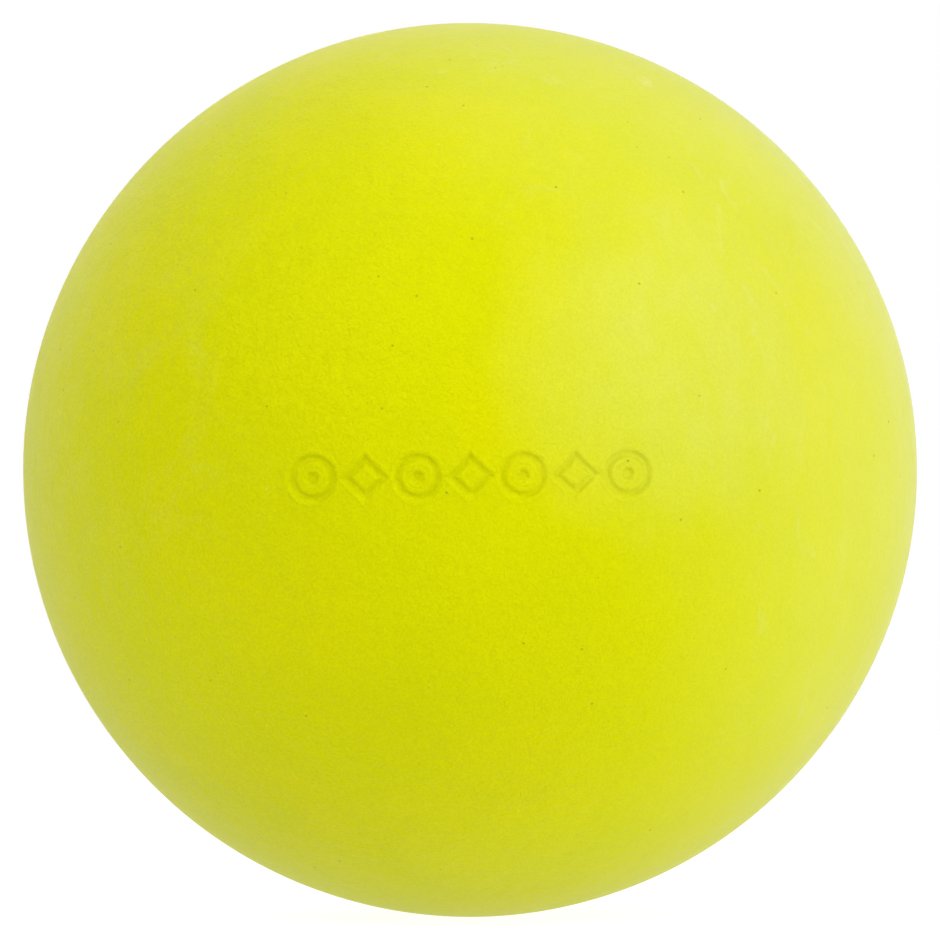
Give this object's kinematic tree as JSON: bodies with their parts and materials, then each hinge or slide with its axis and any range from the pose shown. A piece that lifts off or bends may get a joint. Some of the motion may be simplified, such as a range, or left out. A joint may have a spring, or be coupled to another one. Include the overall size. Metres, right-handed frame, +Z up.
{
  "type": "hollow rubber play ball",
  "caption": "Sealed hollow ball of matte yellow-green rubber, moulded as cups cemented together, with a debossed row of rings and diamonds.",
  "frame": {"origin": "centre of the ball", "axes": "+Z up, +X to the right of the ornament, -Y out through the middle of the ornament, +Y along the axis of revolution towards the inflation plug; the seam lies in the plane y = 0"},
  "size_m": [0.06, 0.06, 0.06],
  "materials": {
    "shell_rubber": "matte moulded rubber with a faint powdery bloom",
    "cement_rubber": "cured rubber cement, buffed level at the seam",
    "plug_rubber": "soft tacky gum rubber"
  },
  "bodies": {
    "root": {"front_half_shell": "shell_rubber", "rear_half_shell": "shell_rubber", "seam_cement_ring": "cement_rubber", "inflation_plug": "plug_rubber", "plug_cement": "cement_rubber"}
  },
  "joints": []
}
